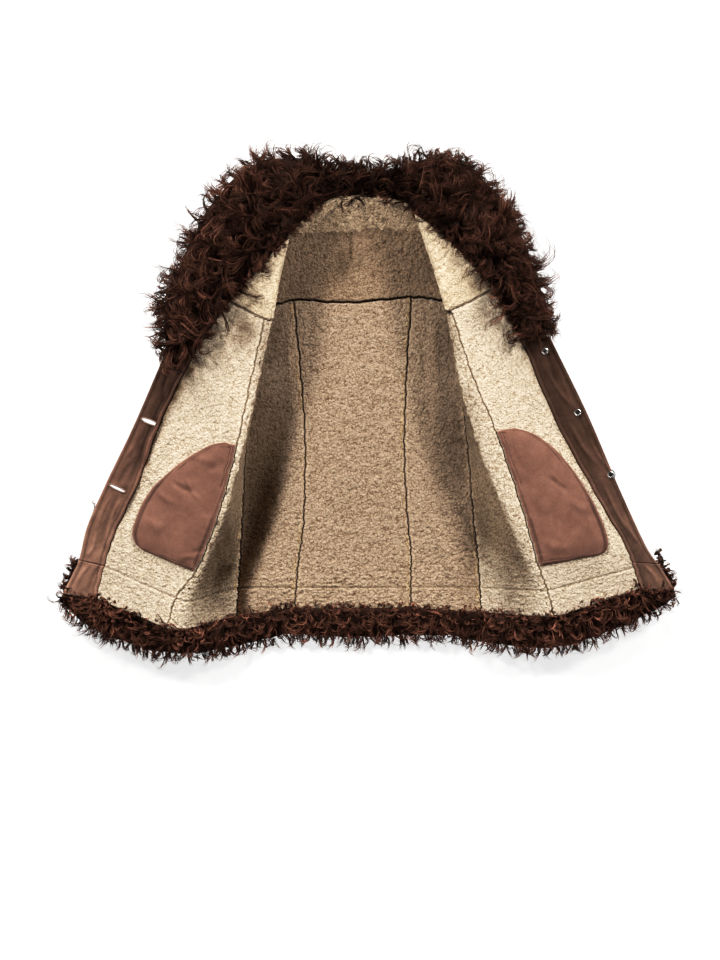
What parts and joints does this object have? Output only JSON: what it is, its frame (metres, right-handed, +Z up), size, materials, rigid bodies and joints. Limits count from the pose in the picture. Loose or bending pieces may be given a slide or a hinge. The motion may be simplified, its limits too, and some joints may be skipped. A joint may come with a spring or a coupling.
{
  "type": "sheepskin coat",
  "caption": "Short sheepskin coat with curly fur collar and hem, laid open on its back with the wool inside up and the sleeves under the fronts.",
  "frame": {"origin": "centre of the footprint on the table", "axes": "+Z up out of the wool side of the back, +Y from hem to collar, +X across the open fronts"},
  "size_m": [0.9626, 0.7844, 0.1006],
  "materials": {
    "shearling": "matt, cream sheared wool on one side and brown suede on the other",
    "suede": "matt suede",
    "fur": "long curly fur",
    "cotton": "matt twill",
    "metal": "bright"
  },
  "bodies": {
    "root": {"back_center": "shearling", "back_side_L": "shearling", "back_side_R": "shearling", "back_yoke": "shearling", "neck_band": "shearling", "side_front_L": "shearling", "side_front_R": "shearling", "front_L": "shearling", "front_R": "shearling", "front_yoke_L": "shearling", "front_yoke_R": "shearling", "placket_L": "suede", "placket_R": "suede", "placket_end_L": "suede", "placket_end_R": "suede", "sleeve_L": "suede", "sleeve_R": "suede", "collar": "fur", "hem_trim_L": "fur", "hem_trim_back": "fur", "hem_trim_R": "fur", "cuff_L": "fur", "cuff_R": "fur", "pocket_bag_L": "cotton", "pocket_bag_R": "cotton", "button_1": "metal", "button_2": "metal", "button_3": "metal"}
  },
  "joints": []
}
